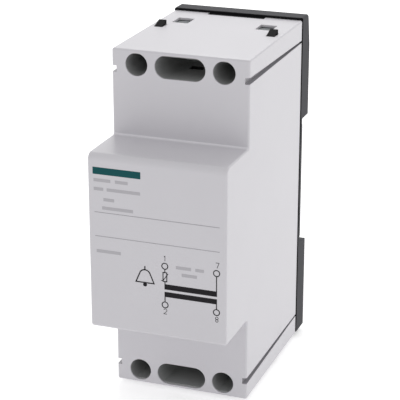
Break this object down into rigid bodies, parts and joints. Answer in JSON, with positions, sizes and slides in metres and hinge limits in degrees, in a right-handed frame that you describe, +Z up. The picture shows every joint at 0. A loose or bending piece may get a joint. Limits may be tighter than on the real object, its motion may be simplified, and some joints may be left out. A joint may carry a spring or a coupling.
{
  "type": "bell transformer",
  "caption": "Narrow rail-mounted bell transformer: light grey hood with a raised nose between two terminal shoulders, black rail base with latch, core, coil and clamp terminals inside.",
  "frame": {"origin": "middle of the rail seat, on the axis of the mounting rail", "axes": "+X to the right seen from the front, +Y back towards the rail, +Z up"},
  "size_m": [0.036, 0.066, 0.092],
  "materials": {
    "hood_plastic": "fine moulded texture, light grey",
    "base_plastic": "moulded, black",
    "block_plastic": "moulded, dark grey",
    "core_steel": "stacked silicon steel sheet",
    "bobbin_plastic": "moulded, natural",
    "copper_wire": "enamelled copper wire",
    "tape_film": "polyester film tape, yellow",
    "thermistor_coating": "dipped resin coating",
    "zinc_plated_steel": "bright zinc plate",
    "contact_brass": "tinned brass",
    "lead_sleeve": "silicone sleeve, red"
  },
  "bodies": {
    "transformer": {"hood": "hood_plastic", "base_plate": "base_plastic", "terminal_block_upper": "block_plastic", "terminal_block_lower": "block_plastic", "core_e_stack": "core_steel", "core_i_stack": "core_steel", "bobbin": "bobbin_plastic", "primary_winding": "copper_wire", "secondary_winding": "copper_wire", "primary_tape": "tape_film", "secondary_tape": "tape_film", "ptc_thermistor": "thermistor_coating", "contact_bar_upper_left": "contact_brass", "contact_bar_upper_right": "contact_brass", "contact_bar_lower_left": "contact_brass", "contact_bar_lower_right": "contact_brass", "winding_lead_upper_left": "lead_sleeve", "winding_lead_upper_right": "lead_sleeve", "winding_lead_lower_left": "lead_sleeve", "winding_lead_lower_right": "lead_sleeve"},
    "latch": {"rail_latch": "base_plastic"},
    "cage_upper_left": {"terminal_cage_upper_left": "zinc_plated_steel"},
    "screw_upper_left": {"terminal_screw_upper_left": "zinc_plated_steel"},
    "cage_upper_right": {"terminal_cage_upper_right": "zinc_plated_steel"},
    "screw_upper_right": {"terminal_screw_upper_right": "zinc_plated_steel"},
    "cage_lower_left": {"terminal_cage_lower_left": "zinc_plated_steel"},
    "screw_lower_left": {"terminal_screw_lower_left": "zinc_plated_steel"},
    "cage_lower_right": {"terminal_cage_lower_right": "zinc_plated_steel"},
    "screw_lower_right": {"terminal_screw_lower_right": "zinc_plated_steel"}
  },
  "joints": [
    {"name": "latch_slide", "type": "slide", "parent": "transformer", "child": "latch", "axis": [0, 0, -1], "range_m": [0, 0.003], "stiffness_N_per_m": 600, "springref_m": -0.002},
    {"name": "cage_rise_upper_left", "type": "slide", "parent": "transformer", "child": "cage_upper_left", "axis": [0, -1, 0], "range_m": [0, 0.004]},
    {"name": "screw_turn_upper_left", "type": "hinge", "parent": "transformer", "child": "screw_upper_left", "pos_m": [-0.01137, -0.023, 0.0412], "axis": [0, 1, 0], "range_deg": [0, 2880]},
    {"name": "cage_rise_upper_right", "type": "slide", "parent": "transformer", "child": "cage_upper_right", "axis": [0, -1, 0], "range_m": [0, 0.004]},
    {"name": "screw_turn_upper_right", "type": "hinge", "parent": "transformer", "child": "screw_upper_right", "pos_m": [0.01137, -0.023, 0.0412], "axis": [0, 1, 0], "range_deg": [0, 2880]},
    {"name": "cage_rise_lower_left", "type": "slide", "parent": "transformer", "child": "cage_lower_left", "axis": [0, -1, 0], "range_m": [0, 0.004]},
    {"name": "screw_turn_lower_left", "type": "hinge", "parent": "transformer", "child": "screw_lower_left", "pos_m": [-0.01137, -0.023, -0.0412], "axis": [0, 1, 0], "range_deg": [0, 2880]},
    {"name": "cage_rise_lower_right", "type": "slide", "parent": "transformer", "child": "cage_lower_right", "axis": [0, -1, 0], "range_m": [0, 0.004]},
    {"name": "screw_turn_lower_right", "type": "hinge", "parent": "transformer", "child": "screw_lower_right", "pos_m": [0.01137, -0.023, -0.0412], "axis": [0, 1, 0], "range_deg": [0, 2880]}
  ],
  "couplings": [
    {"joint": "screw_turn_upper_left", "follows": "cage_rise_upper_left", "rad_per_m": 12566},
    {"joint": "screw_turn_upper_right", "follows": "cage_rise_upper_right", "rad_per_m": 12566},
    {"joint": "screw_turn_lower_left", "follows": "cage_rise_lower_left", "rad_per_m": 12566},
    {"joint": "screw_turn_lower_right", "follows": "cage_rise_lower_right", "rad_per_m": 12566}
  ]
}
